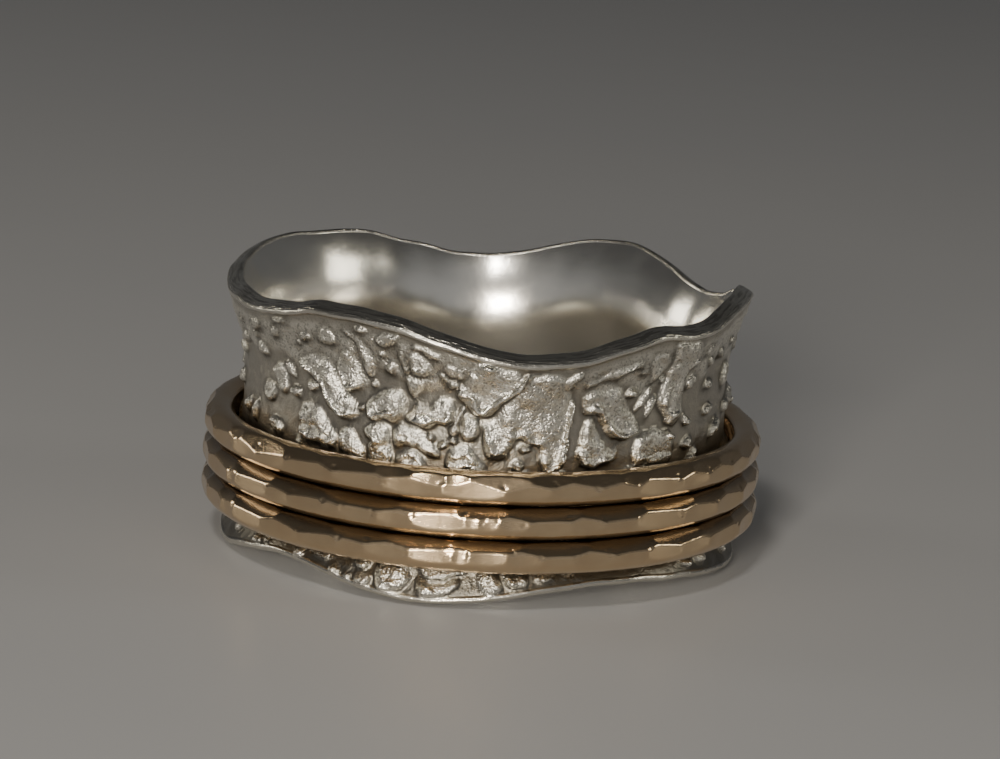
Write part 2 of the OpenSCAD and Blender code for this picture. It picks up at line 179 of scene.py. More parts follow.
# Small islands and beads in the same stretch: angle, height, half length, half width,
# turn of the long side out of the horizontal, share of relief_h.
BEADS = [
    (-72, 8.9, 0.24, 0.12, 5, 1), (-72.6, 8.22, 0.46, 0.22, 8, 1), (-60.6, 9.08, 0.42, 0.17, 12, 1),
    (-63, 8.66, 0.24, 0.16, 0, 1), (-61, 8.12, 0.44, 0.28, -8, 1.1), (-52.9, 9.1, 0.3, 0.22, 35, 1),
    (-50.4, 9.6, 0.34, 0.11, 8, 1), (-49.8, 7.76, 0.3, 0.16, -50, 1), (-47.7, 6.9, 0.26, 0.2, 0, 1.1),
    (-65.8, 5.5, 0.46, 0.22, 82, 1), (-71.6, 5.6, 0.36, 0.18, 50, 0.9), (-59, 6.6, 0.5, 0.36, 10, 0.7),
    (-80, 6.4, 0.5, 0.32, 20, 0.9), (-78, 7.6, 0.4, 0.22, -20, 0.9), (-42.3, 7.32, 0.26, 0.2, 15, 1),
    (-42.6, 9.18, 0.3, 0.17, 14, 1.1), (-45.2, 8.88, 0.14, 0.11, 0, 0.9),
    (-45.8, 5.04, 0.26, 0.12, -10, 0.9), (-27.5, 9.96, 0.26, 0.1, -6, 1), (-22.8, 9.04, 0.16, 0.15, 0, 1.1),
    (-21, 8.52, 0.26, 0.22, 40, 1), (-17.7, 8.92, 0.5, 0.11, -72, 1.1), (-25.2, 7.9, 0.12, 0.1, 0, 0.8),
    (-28, 6.9, 0.14, 0.1, 50, 0.8), (-7.4, 8.76, 0.26, 0.22, 10, 1.1), (-8.9, 8.44, 0.24, 0.12, -40, 0.9),
    (-7, 8.26, 0.18, 0.14, 0, 1), (-5.8, 8.66, 0.18, 0.13, 60, 0.8), (-5.7, 6.9, 0.46, 0.1, 65, 1.1),
    (-6.2, 6.46, 0.22, 0.17, -50, 1.1), (-6.3, 6.1, 0.16, 0.13, 0, 1), (-8.6, 5.92, 0.22, 0.14, 20, 1),
    (8.2, 5.22, 0.22, 0.2, 0, 1), (9.6, 5.9, 0.14, 0.1, 30, 0.9), (5.6, 8.02, 1, 0.12, 44, 1.65),
    (-11.6, 6.12, 0.14, 0.11, 0, 1.2), (34.4, 7.9, 0.28, 0.2, 30, 1.2), (37.9, 7.66, 0.5, 0.13, 62, 1.1),
    (40.6, 7.26, 0.42, 0.15, 60, 0.8), (36.7, 8.76, 0.12, 0.1, 0, 0.9), (42.8, 8.28, 0.17, 0.13, 30, 1.1),
    (53.6, 8.02, 0.32, 0.26, 20, 1.1), (57.6, 9.24, 0.3, 0.2, 35, 1.1), (47, 6.08, 0.22, 0.18, 20, 1.3),
    (54.6, 5.58, 0.34, 0.22, 10, 1.1), (53.4, 6.46, 0.22, 0.14, -40, 0.8), (63.4, 6.62, 0.28, 0.18, 5, 1),
    (68.4, 5.84, 0.5, 0.2, 25, 1), (74.4, 9.02, 0.3, 0.12, -8, 1), (62.6, 7.6, 0.4, 0.2, 0, 0.8),
    (67.2, 8.72, 0.44, 0.18, -8, 0.9), (60.6, 8.6, 0.2, 0.14, 0, 0.9), (57.6, 5.08, 0.24, 0.14, 20, 0.9),
    (75, 7.7, 0.52, 0.3, 60, 0.9), (82, 8.6, 0.4, 0.24, -20, 0.9), (83, 6.6, 0.6, 0.4, 15, 0.9),
    (77, 6.3, 0.3, 0.2, 40, 0.9), (-31.5, 0.64, 0.2, 0.15, -60, 1), (-28.2, 0.42, 0.16, 0.12, -40, 1),
    (-35.6, 1.18, 0.52, 0.16, 0, 1), (-41, 1.14, 0.26, 0.18, 80, 1), (-55.5, 0.98, 0.22, 0.14, -40, 1),
    (-51.2, 1.22, 0.34, 0.14, 40, 1), (15.6, 1.12, 0.34, 0.13, 10, 1), (20.8, 1.16, 0.26, 0.1, 5, 0.8),
    (-68, 0.9, 0.36, 0.2, 20, 0.9), (60, 1, 0.4, 0.2, 10, 0.8), (74, 0.8, 0.34, 0.22, -20, 0.9),
    (-84, 0.7, 0.4, 0.24, 30, 0.9),
]
# Pits in the same columns as the beads: the last is the share of the height taken away.
PITS = [
    (-44.6, 5.76, 0.22, 0.15, 0, 0.55), (-40.8, 5.82, 0.26, 0.13, 8, 0.55), (-42.6, 5.7, 0.6, 0.2, 2, 0.35),
    (-37, 5.5, 0.22, 0.16, 20, 0.4), (-17.9, 6.06, 0.12, 0.08, 0, 0.6), (-11.9, 7.86, 0.34, 0.12, -30, 0.4),
    (-22, 5.6, 0.2, 0.14, 30, 0.5), (-16.2, 5.18, 0.24, 0.12, 10, 0.5), (3.6, 6.7, 0.34, 0.18, 0, 0.25),
    (7.6, 6.5, 0.26, 0.18, 40, 0.5), (11.6, 6.36, 0.2, 0.16, -30, 0.6), (11.4, 5.46, 0.3, 0.16, 50, 0.5),
    (9.2, 7.36, 0.3, 0.2, 20, 0.2), (-2.2, 8.8, 0.18, 0.12, 10, 0.35), (25, 7.6, 0.36, 0.22, 20, 0.25),
    (33.6, 6.86, 0.26, 0.14, -20, 0.3), (-3.2, 5.4, 0.22, 0.14, -20, 0.45), (47, 7.6, 0.5, 0.26, 70, 0.2),
    (18.8, 6, 0.44, 0.05, 82, 0.45), (45.4, 8.96, 0.16, 0.12, 0, 0.5),
]
# The middle stretch, behind the wire rings, repeats the islands between these heights upside down
# about their middle, turned round the band.
MIRROR_FROM = 5.2
MIRROR_TO = 7.8
MIRROR_AT = 4.95
MIRROR_TURN = 40

# Boundaries of the hammer's marks in front, as angles, on the outside and on the upper shoulder. The
# photograph shows the first on the two lower wire rings and the second on the top one.
OUTER_MARKS = {
    "spinner_bottom": (
        -58.5, -48, -37.4, -28.5, -22.4, -13, -4.6, -1.5, 6.2, 13, 19.7, 28.3, 36, 44.4, 54),
    "spinner_middle": (
        -58, -47, -40.5, -32, -28.2, -20, -12.8, -2.5, 0.3, 4.2, 10, 18.5, 25.5, 32.7, 45, 56),
    "spinner_top": (-60, -51, -42, -30, -19, -7, 5, 14, 24, 33, 44, 52, 61),
}
SHOULDER_MARKS = {
    "spinner_bottom": (-60, -44, -30, -18, -5, 9, 23, 38, 52),
    "spinner_middle": (-61, -46, -32, -16, -4, 6, 21, 35, 49, 60),
    "spinner_top": (-57, -42.5, -33.5, -21, -13.5, -6.5, -2, 10.5, 18.5, 29.5, 35, 47.5, 57),
}


def scatter(k, seed):
    """A number from -1 to 1 that looks random but stays the same."""
    return math.sin(math.radians(k * 137.5 + seed * 71)) * math.cos(math.radians(k * 59 + seed * 23))


def smooth(t):
    """0 below 0, 1 above 1 and smooth between them."""
    t = np.clip(t, 0, 1)
    return t * t * (3 - 2 * t)


def dome(t):
    """A quarter of a circle: it starts upright at 0 and is level from 1 on."""
    return np.sqrt(1 - (1 - np.clip(t, 0, 1)) ** 2)


def soft_least(first, second, blend):
    """The lesser of two arrays, rounded where they cross."""
    share = np.clip(0.5 + 0.5 * (second - first) / blend, 0, 1)
    return second + (first - second) * share - blend * share * (1 - share)


def soft_most(first, second, blend):
    """The greater of two arrays, rounded where they cross."""
    return -soft_least(-first, -second, blend)


def ripple(points, size, seed, waves=24):
    """Smooth noise of about unit height at points, from waves about size long."""
    dice = np.random.default_rng(seed)
    heading = dice.normal(size=(waves, 3))
    heading /= np.linalg.norm(heading, axis=1)[:, None]
    heading *= (2 * math.pi / size * dice.uniform(0.6, 1.4, waves))[:, None]
    phase = dice.uniform(0, 2 * math.pi, waves)
    total = np.zeros(points.shape[:-1])
    for direction, start in zip(heading, phase):
        total += np.sin(points @ direction + start)
    return total * math.sqrt(2 / waves)


def ripples(points, rows):
    """The sum of ripples given as height, size, seed and, where it isn't 24, the number of waves."""
    return sum(height * ripple(points, *rest) for height, *rest in rows)


def wave(rows, angle):
    """A smooth wave through the rows of a chart, at an array of angles."""
    rows = sorted(((a - rows[0][0]) % 360 + rows[0][0], share) for a, share in rows)
    rows.append((rows[0][0] + 360, rows[0][1]))
    a = (angle - rows[0][0]) % 360 + rows[0][0]
    result = np.zeros_like(a)
    for (a0, h0), (a1, h1) in zip(rows, rows[1:]):
        here = (a >= a0) & (a <= a1)
        t = (a[here] - a0) / (a1 - a0)
        result[here] = h0 + (h1 - h0) * (1 - np.cos(math.pi * t)) / 2
    return result


def rounded(corners, rounds=2):
    """A closed outline with its corners cut again and again, each a quarter of a side back."""
    points = np.array(corners, float)
    for _ in range(rounds):
        following = np.roll(points, -1, axis=0)
        points = np.stack([0.75 * points + 0.25 * following, 0.25 * points + 0.75 * following], axis=1)
        points = points.reshape(-1, 2)
    return points


def depth_in_outline(outline, x, y):
    """How deep points lie inside a closed outline; below 0 is outside it."""
    nearest = np.full(x.shape, np.inf)
    inside = np.zeros(x.shape, bool)
    for (ax, ay), (bx, by) in zip(outline, np.roll(outline, -1, axis=0)):
        wx, wy = bx - ax, by - ay
        share = np.clip(((x - ax) * wx + (y - ay) * wy) / (wx * wx + wy * wy), 0, 1)
        nearest = np.minimum(nearest, (x - ax - share * wx) ** 2 + (y - ay - share * wy) ** 2)
        if ay != by:
            inside ^= ((ay > y) != (by > y)) & (x < ax + (y - ay) * wx / wy)
    return np.where(inside, 1, -1) * np.sqrt(nearest)


def add_object(name, data):
    """A new object in the scene."""
    item = bpy.data.objects.new(name, data)
    bpy.context.scene.collection.objects.link(item)
    return item


def closed_mesh(name, points, marks):
    """A mesh from a grid of points in millimetres that closes both ways, with named point values."""
    columns, rows = points.shape[:2]
    column, row = np.meshgrid(np.arange(columns), np.arange(rows), indexing="ij")
    here = column * rows
    following = (column + 1) % columns * rows
    up = (row + 1) % rows
    quads = np.stack([here + row, following + row, following + up, here + up], axis=-1).reshape(-1, 4)
    mesh = bpy.data.meshes.new(name)
    mesh.from_pydata((points.reshape(-1, 3) * MM).tolist(), [], quads.tolist())
    mesh.polygons.foreach_set("use_smooth", [True] * len(mesh.polygons))
    for label, values in marks.items():
        attribute = mesh.attributes.new(label, "FLOAT", "POINT")
        attribute.data.foreach_set("value", values.astype(np.float32).ravel())
    mesh.update()
    return add_object(name, mesh)


def round_the_hole(radius, angle, height):
    """Points from radius, angle in degrees and height."""
    a = np.radians(angle)
    return np.stack([radius * np.sin(a), -radius * np.cos(a), height + 0 * a], axis=-1)


def in_millimetres(group):
    """The sizes of a property group in millimetres, with whole numbers as they are."""
    sizes = Values()
    for entry in group.bl_rna.properties:
        if entry.type == "FLOAT":
            setattr(sizes, entry.identifier, getattr(group, entry.identifier) / MM)
        elif entry.type == "INT":
            setattr(sizes, entry.identifier, getattr(group, entry.identifier))
    return sizes


# Shader tools

def plug(tree, socket, value):
    """Links a socket to a signal, or sets it to a value."""
    if isinstance(value, Signal):
        tree.links.new(value.socket, socket)
    else:
        socket.default_value = value


def add_node(tree, kind, settings=None, values=None):
    """A new shader node: its settings are set first, then the values or links of its sockets."""
    node = tree.nodes.new(kind)
    for name, value in (settings or {}).items():
        setattr(node, name, value)
    for name, value in (values or {}).items():
        plug(tree, node.inputs[name], value)
    return node


class Signal:
    """A shader socket that takes part in Python sums."""

    def __init__(self, tree, socket):
        self.tree = tree
        self.socket = socket

    def math(self, operation, first, second):
        node = add_node(self.tree, "ShaderNodeMath", {"operation": operation}, {0: first, 1: second})
        return Signal(self.tree, node.outputs[0])

    def __add__(self, other):
        return self.math("ADD", self, other)

    __radd__ = __add__

    def __sub__(self, other):
        return self.math("SUBTRACT", self, other)

    def __rsub__(self, other):
        return self.math("SUBTRACT", other, self)

    def __mul__(self, other):
        return self.math("MULTIPLY", self, other)

    __rmul__ = __mul__

    def above(self, low, high):
        """0 below low, 1 above high and smooth between them."""
        node = add_node(
            self.tree, "ShaderNodeMapRange", {"interpolation_type": "SMOOTHSTEP"},
            {"Value": self, "From Min": low, "From Max": high},
        )
        return Signal(self.tree, node.outputs["Result"])


class Finish:
    """A finish: a material with one principled shader, in coordinates of a millimetre."""

    def __init__(self, name, metallic=1.0):
        self.material = bpy.data.materials.new(name)
        self.material.use_nodes = True
        self.tree = self.material.node_tree
        self.shader = self.tree.nodes["Principled BSDF"]
        self.set("Metallic", metallic)
        place = add_node(self.tree, "ShaderNodeTexCoord")
        self.place = self.scaled(Signal(self.tree, place.outputs["Object"]), (1 / MM, 1 / MM, 1 / MM))

    def scaled(self, place, factors):
        """Coordinates multiplied along the axes."""
        values = {0: place, 1: factors}
        node = add_node(self.tree, "ShaderNodeVectorMath", {"operation": "MULTIPLY"}, values)
        return Signal(self.tree, node.outputs[0])

    def mark(self, label):
        """A named point value of the mesh."""
        node = add_node(self.tree, "ShaderNodeAttribute", {"attribute_name": label})
        return Signal(self.tree, node.outputs["Fac"])

    def noise(self, size, detail, place=None, roughness=0.5, across=0.0):
        """Noise from 0 to 1 in lumps about size millimetres wide, which also changes with across."""
        node = add_node(self.tree, "ShaderNodeTexNoise", {"noise_dimensions": "4D"}, {
            "Vector": place or self.place, "W": across,
            "Scale": 1 / size, "Detail": detail, "Roughness": roughness,
        })
        return Signal(self.tree, node.outputs["Fac"])

    def mix(self, share, first, second):
        """A colour between two, by share."""
        node = add_node(self.tree, "ShaderNodeMix", {"data_type": "RGBA"}, {0: share, 6: first, 7: second})
        return Signal(self.tree, node.outputs[2])

    def set(self, name, value):
        plug(self.tree, self.shader.inputs[name], value)

    def bump(self, height, depth):
        """Relief finer than the mesh: height from 0 to 1, depth in millimetres."""
        node = add_node(self.tree, "ShaderNodeBump", None, {
            "Strength": 1.0, "Distance": depth * MM, "Height": height,
        })
        self.set("Normal", Signal(self.tree, node.outputs["Normal"]))


def opaque(colour):
    return (*colour, 1.0)


# Properties

def length(name, description, millimetres):
    """A length in the panel: given in millimetres, kept in metres."""
    return FloatProperty(
        name=name, description=description, default=millimetres * MM, min=0, precision=5, unit="LENGTH")


def count(name, description, number):
    return IntProperty(name=name, description=description, default=number, min=12)


def colour(name, description, shade):
    return FloatVectorProperty(
        name=name, description=description, default=shade, min=0, max=1, subtype="COLOR")


class BandSizes(bpy.types.PropertyGroup):
    """Sizes of the silver band."""

    bore_d: length("Finger hole", "Inner diameter of the band", 17.35)
    wall: length("Wall", "Thickness of the sheet in the valleys", 0.77)
    band_h: length("Height", "Mean height of the lip", 10.1)
    relief_h: length("Relief", "How far the islands stand out", 0.25)
    lip_flare: length("Lip flare", "How far the lip stands out", 0.9)
    lip_bend: length("Lip bend", "Height over which the lip bends", 2.9)
    lip_wave: length("Lip wave", "Height of the lip's waves", 0.7)
    foot_flare: length("Foot flare", "How far the foot stands out", 0.8)
    foot_bend: length("Foot bend", "Height over which the foot bends", 1.85)
    foot_wave: length("Foot wave", "Height of the foot's arches", 0.76)
    edge: length("Edge", "Depth of the round of both edges", 0.16)
    columns: count("Columns", "Columns of the mesh", 620)


class SpinnerSizes(bpy.types.PropertyGroup):
    """Sizes of the gold wire rings."""

    wire_d: length("Wire", "Diameter of the wire", 1.26)
    run_gap: length("Running gap", "Free space between the relief and the rings", 0.15)
    bore_flat: length("Inner flat", "Flat that the mandrel leaves inside the wire", 0.12)
    blow_depth: length("Blow depth", "Depth of the hammer's marks at their ends", 0.014)
    blow_dish: length("Blow dish", "How far the hammer's marks are hollow", 0.030)
    nick_depth: length("Nick depth", "Depth of the small nicks between the marks", 0.03)
    columns: count("Columns", "Columns of the mesh", 1150)
    rows: count("Rows", "Points round the wire", 60)


class Colours(bpy.types.PropertyGroup):
    """Colours of the metals and the floor."""

    silver: colour("Silver", "Bright silver of the islands and edges", (0.83, 0.80, 0.72))
    polished: colour("Polished", "Polished silver of the inside", (0.95, 0.92, 0.85))
    valley: colour("Valley", "Dull silver in the valleys", (0.49, 0.46, 0.40))
    # Dark silver: tarnish in pores, scratches and crevices, and painted shade in the crevices and under the
    # wire rings.
    shade_and_tarnish: colour("Crevice", "Dark silver in the crevices", (0.12, 0.11, 0.09))
    gold: colour("Gold", "Gold of the wire rings", (0.72, 0.55, 0.355))
    tarnish: colour("Tarnish", "Dull gold", (0.58, 0.41, 0.25))
    # Painted shade where the wire rings meet.
    groove_shade: colour("Groove", "Dark gold between the wire rings", (0.20, 0.155, 0.115))
    floor: colour("Floor", "Pale floor", (0.52, 0.52, 0.53))


class Shape:
    """Radii and heights that the band and the wire rings share, in millimetres."""

    def __init__(self, scene):
        self.band = in_millimetres(scene.band_sizes)
        self.wire = in_millimetres(scene.spinner_sizes)
        self.bore_r = self.band.bore_d / 2
        self.valley_r = self.bore_r + self.band.wall
        self.relief_r = self.valley_r + self.band.relief_h
        self.wire_r = self.wire.wire_d / 2
        self.run_r = self.relief_r + self.wire.run_gap
        self.ring_r = self.run_r - self.wire.bore_flat + self.wire_r
        self.seats = [middle_height(node) for node in SPINNERS]
        self.chart_rise = self.seats[1] - CHART_STACK


# Silver band

# The lip and the foot. Power is how they bend (1 is a straight cone, 2 a parabola), square how square
# the edge is to the sheet (1 is square, 0 is level), up the side of the band that the edge is on.
LIP = {"power": 2, "square": 0.85, "steps": 10, "up": 1}
FOOT = {"power": 1.5, "square": 0.5, "steps": 8, "up": -1}
# How round an edge is outside and inside: 1 is an ellipse, less is squarer.
OUTER_ROUND = 0.75
INNER_ROUND = 0.45
# Stretch of the front with the finer columns, in degrees to each side, and its share of them.
FRONT = 76
FRONT_SHARE = 0.65
# Rows up the outside: from these shares of the height to the next, how many.
OUTER_ROWS = ((0, 18), (0.16, 18), (0.50, 72), (1, 0))
# Steps in the round of an edge and down the hole.
EDGE_STEPS = 13
HOLE_STEPS = 4

# Ripples of the islands' outlines, the edges, the slopes' width and the swollen sheet's lower end, with
# their height in mm, then the grain of the islands' tops and of the sheet, as shares of relief_h.
BENT_ASIDE = ((0.035, 1.3, 11), (0.022, 0.45, 12))
BENT_UP = ((0.035, 1.3, 13), (0.022, 0.45, 14))
ON_LIP = ((0.025, 2.2, 21),)
ON_FOOT = ((0.02, 2.2, 22),)
IN_SLOPES = ((0.05, 0.9, 18),)
IN_SWOLLEN = ((0.25, 1.9, 23),)
ON_TOPS = ((0.11, 1.1, 15), (0.05, 0.42, 16, 48))
ON_SHEET = ((0.05, 1.5, 17), (0.02, 0.5, 19))

# Lengths below are in mm, and heights of the relief and what is added to them are shares of relief_h.
# How far outside its outline an island still counts.
MARGIN = 0.3
# Half width of a charted island, as a share of the smaller of its length and height.
OUTLINE_HALF = 0.4
# Step that tells an island's lower left side from its upper right side, and how sharply these begin.
STEP = Values(up=0.10, aside=0.03, lower_sharp=1.3, upper_sharp=1.2)
# An island's slope, which begins outside the outline and is wider on the upper side. Its width is no
# more than of_half of the island's half width or, where that is less, than small.
SLOPE = Values(width=0.22, least=0.13, most=0.32, upper_adds=1.5, of_half=0.8, small=0.11, outside=0.06)
# The slope's round shoulder: its share, and how far outside the outline it begins.
SHOULDER = Values(share=0.45, outside=0.03)
# Height of an island's top, and the rim on it: place is a share of the slope, and the rise grows with
# the island's half width up to widest.
TOP = 0.90
RIM = Values(width=0.12, place=1.1, rise=0.15, lower_adds=0.75, widest=0.5)
# A pit's slope as a share of its half width, and the share of the slope outside the outline.
PIT = Values(slope=0.8, outside=0.3)
# The sheet is swollen below the lip, so that the islands there run into it: it starts at a height and
# ends over a height below the lip.
SWOLLEN = Values(height=0.5, start=7.9, grows=1.0, ends=0.8)
# How softly islands run into each other and into the swollen sheet.
ISLAND_BLEND = 0.08
SWOLLEN_BLEND = 0.15
# Heights from which the relief is all island and from which it is worn bright, and its limits.
ALL_ISLAND = 0.6
WORN = Values(start=1.08, grows=0.30)
RELIEF_LIMITS = (-0.15, 1.70)
# Width over which the relief fades in beside the round of an edge, and below the lip.
FADE = 0.10
LIP_FADE = 0.26
# Tarnish and painted shade in the hollow beside an island; the painted shade is darker on the island's
# lower side.
CREVICE_SHADE = Values(width=0.15, dark=0.40, lower_adds=0.60, inside=0.03)
# Painted shade on the sheet beneath the wire rings, from so far below the middle of the lowest.
UNDER_RINGS_SHADE = Values(dark=0.9, start=0.4, grows=0.5)
# Room kept between the wire rings and what stands out further than relief_h or lies below them.
RELIEF_ROOM = 0.32
# Point values of the band, from 0 to 1. The last runs across the lip from outside to inside.
# The second mark is tarnish and painted shade in the crevices and under the wire rings.
BAND_MARKS = ("island", "shade_and_tarnish", "edge", "inside", "across")


class Island:
    """What islands and pits share. Each has depth(x, z): how deep points lie inside it, below 0 outside."""

    def height(self, x, z, slope):
        """Height as a share of relief_h, tarnish and painted shade beside the island, and depth inside it,
        at points.
        """
        depth = self.depth(x, z)
        low_side = (self.depth(x + STEP.aside, z + STEP.up) - depth) / STEP.up
        widest = max(SLOPE.of_half * self.width, SLOPE.small)
        slope = np.minimum(slope * (1 + SLOPE.upper_adds * smooth(-STEP.upper_sharp * low_side)), widest)
        body = SHOULDER.share * dome((depth + SHOULDER.outside) / slope)
        body += (1 - SHOULDER.share) * smooth((depth + SLOPE.outside) / slope)
        rim = np.exp(-((depth - RIM.place * slope) / RIM.width) ** 2) * min(self.width, RIM.widest)
        top = self.rise * body * (TOP + (RIM.rise + RIM.lower_adds * smooth(low_side)) * rim)
        dark = CREVICE_SHADE.dark + CREVICE_SHADE.lower_adds * smooth(STEP.lower_sharp * low_side)
        return top, np.exp(-((np.minimum(depth, 0) / CREVICE_SHADE.width) ** 2)) * dark, depth


class Outline(Island):
    """An island drawn by its outline."""

    def __init__(self, rise, corners, radius):
        angles = [a for a, _ in corners]
        self.angle = (min(angles) + max(angles)) / 2
        self.rise = rise
        self.outline = rounded([(math.radians(a - self.angle) * radius, z) for a, z in corners])
        self.far_x = np.abs(self.outline[:, 0]).max()
        self.low, self.high = self.outline[:, 1].min(), self.outline[:, 1].max()
        self.width = OUTLINE_HALF * min(2 * self.far_x, self.high - self.low)

    def depth(self, x, z):
        return depth_in_outline(self.outline, x, z)


class Bead(Island):
    """An oval island or pit."""

    def __init__(self, angle, height, half, width, turn, rise):
        self.angle, self.middle, self.far_x, self.width, self.rise = angle, height, half, width, rise
        self.cos, self.sin = math.cos(math.radians(turn)), math.sin(math.radians(turn))
        self.low, self.high = height - half, height + half

    def depth(self, x, z):
        y = z - self.middle
        along = (x * self.cos + y * self.sin) / self.far_x
        across = (y * self.cos - x * self.sin) / self.width
        return (1 - np.sqrt(along**2 + across**2)) * self.width


class Band:
    """The shape of the band: radii in millimetres over arrays of angles and heights.

    The charts cover the front half, and the back half repeats them.
    """

    def __init__(self, shape):
        self.shape = shape
        self.sizes = shape.band
        self.lip = Values(flare=self.sizes.lip_flare, bend=self.sizes.lip_bend, **LIP)
        self.foot = Values(flare=self.sizes.foot_flare, bend=self.sizes.foot_bend, **FOOT)
        lean = math.atan(self.foot.power * self.foot.flare / self.foot.bend)
        self.foot_rise = self.foot.square * self.sizes.wall * math.sin(lean)
        up = shape.chart_rise
        radius = shape.valley_r
        self.islands = []
        for half in (0, 180):
            for rise, corners in OUTLINES:
                there = [(a + half, z + up) for a, z in corners]
                self.islands.append(Outline(rise, there, radius))
                if MIRROR_FROM < corners[0][1] < MIRROR_TO:
                    there = [(a + half + MIRROR_TURN, 2 * MIRROR_AT - z + up) for a, z in corners]
                    self.islands.append(Outline(rise, there, radius))
            self.islands += [Bead(a + half, z + up, *rest) for a, z, *rest in BEADS]
        self.pits = [Bead(a + half, z + up, *rest) for half in (0, 180) for a, z, *rest in PITS]

    def lip_z(self, angle):
        return self.sizes.band_h + self.sizes.lip_wave * wave(LIP_WAVES, angle)

    def foot_z(self, angle):
        return self.foot_rise + self.sizes.foot_wave * wave(FOOT_WAVES, angle)

    @staticmethod
    def flared(edge, s):
        """How far the lip or foot stands out at a distance s from its edge, and its lean there."""
        share = np.clip(1 - s / edge.bend, 0, None)
        lean = np.arctan(edge.flare * edge.power / edge.bend * share ** (edge.power - 1))
        return edge.flare * share**edge.power, lean

    def near(self, island, angle, z):
        """Which points lie near an island, and their distance round the band from its middle."""
        x = ((angle - island.angle + 180) % 360 - 180) * math.pi / 180 * self.shape.valley_r
        close = (np.abs(x) < island.far_x + MARGIN) & (z > island.low - MARGIN) & (z < island.high + MARGIN)
        return close, x

    def relief(self, angle, z):
        """The relief as a share of relief_h, and the marks of islands, of tarnish and painted shade in
        crevices and under the wire rings, and of worn ridges.
        """
        place = round_the_hole(self.shape.valley_r, angle, z)
        bent_x, bent_z = ripples(place, BENT_ASIDE), ripples(place, BENT_UP)
        slope = np.clip(SLOPE.width + ripples(place, IN_SLOPES), SLOPE.least, SLOPE.most)
        height = np.zeros(angle.shape)
        deepest = np.full(angle.shape, -np.inf)
        shade_and_tarnish = np.zeros(angle.shape)
        for island in self.islands:
            close, x = self.near(island, angle, z)
            if not close.any():
                continue
            at_x, at_z = x[close] + bent_x[close], z[close] + bent_z[close]
            top, dark, depth = island.height(at_x, at_z, slope[close])
            height[close] = soft_most(height[close], top, ISLAND_BLEND)
            # Tarnish and painted shade beside islands that lie close add up.
            shade_and_tarnish[close] = 1 - (1 - shade_and_tarnish[close]) * (1 - dark)
            deepest[close] = np.maximum(deepest[close], depth)
        for pit in self.pits:
            close, x = self.near(pit, angle, z)
            depth = pit.depth(x[close] + bent_x[close], z[close] + bent_z[close])
            height[close] *= 1 - pit.rise * smooth(PIT.outside + depth / (PIT.slope * pit.width))
        swollen = smooth((z - SWOLLEN.start + ripples(place, IN_SWOLLEN)) / SWOLLEN.grows)
        swollen = SWOLLEN.height * swollen * smooth((self.lip_z(angle) - z) / SWOLLEN.ends)
        height = soft_most(height, swollen, SWOLLEN_BLEND)
        on_top = smooth(height / ALL_ISLAND)
        height += on_top * ripples(place, ON_TOPS)
        height += (1 - on_top) * ripples(place, ON_SHEET)
        shade_and_tarnish = np.where(deepest < CREVICE_SHADE.inside, shade_and_tarnish, 0)
        # Painted shade on the sheet beneath the wire rings.
        under = smooth((self.shape.seats[0] - UNDER_RINGS_SHADE.start - z) / UNDER_RINGS_SHADE.grows) * (1 - on_top)
        shade_and_tarnish = np.maximum(shade_and_tarnish, UNDER_RINGS_SHADE.dark * under)
        worn = smooth((height - WORN.start) / WORN.grows)
        return np.clip(height, *RELIEF_LIMITS), on_top, shade_and_tarnish, worn

    def limit(self, z):
        """Radius that the relief may reach beside the wire rings."""
        shape = self.shape
        reach = shape.wire_r + RELIEF_ROOM
        limit = np.full(z.shape, np.inf)
        for seat in shape.seats:
            aside = np.clip(np.abs(z - seat), 0, reach)
            beside = shape.ring_r - np.sqrt(reach**2 - aside**2)
            limit = np.where(aside < reach, np.minimum(limit, beside), limit)
        return np.maximum(limit, np.where(z > shape.seats[0] - shape.wire_r, shape.relief_r, 0))

    def outside(self, angle, z, top, bottom):
        """Radius of the outside, and the marks of islands, of tarnish and painted shade in crevices and
        under the wire rings, and of bright edges.
        """
        sheet = self.shape.valley_r + self.flared(self.lip, top - z)[0]
        sheet = sheet + self.flared(self.foot, z - bottom)[0]
        fade = smooth((np.minimum(top - z, z - bottom) - self.sizes.edge) / FADE)
        below_lip = smooth((top - z - self.sizes.edge) / LIP_FADE)
        height, on_top, shade_and_tarnish, worn = self.relief(angle, z)
        raised = sheet + self.sizes.relief_h * fade * below_lip * height
        raised = np.where(height > 0, np.maximum(sheet, np.minimum(raised, self.limit(z))), raised)
        return raised, on_top * fade, shade_and_tarnish * fade, np.maximum(1 - fade, worn)

    def edge_and_bend(self, edge, edge_z):
        """Radius and height over the round of an edge and down the inside of its bend."""
        share, deep = edge_profile()
        s = np.concatenate([self.sizes.edge * deep, np.linspace(self.sizes.edge, edge.bend, edge.steps)])
        share = np.concatenate([share, np.ones(edge.steps)])
        flare, lean = self.flared(edge, s)
        radius = self.shape.valley_r + flare - share * self.sizes.wall * np.cos(lean)
        radius = np.maximum(radius, self.shape.bore_r)
        inward = edge.up * edge.square * share * self.sizes.wall * np.sin(lean)
        height = edge_z[:, None] - edge.up * s + inward
        return radius + 0 * height, height


def edge_profile():
    """The round of an edge: share of the wall from outside to inside, and share of the edge's depth."""
    turn = np.linspace(0, math.pi, EDGE_STEPS + 2)[1:-1]
    power = np.where(turn < math.pi / 2, OUTER_ROUND, INNER_ROUND)
    across = 0.5 * (1 - np.sign(np.cos(turn)) * np.abs(np.cos(turn)) ** power)
    return across, 1 - np.sin(turn) ** power


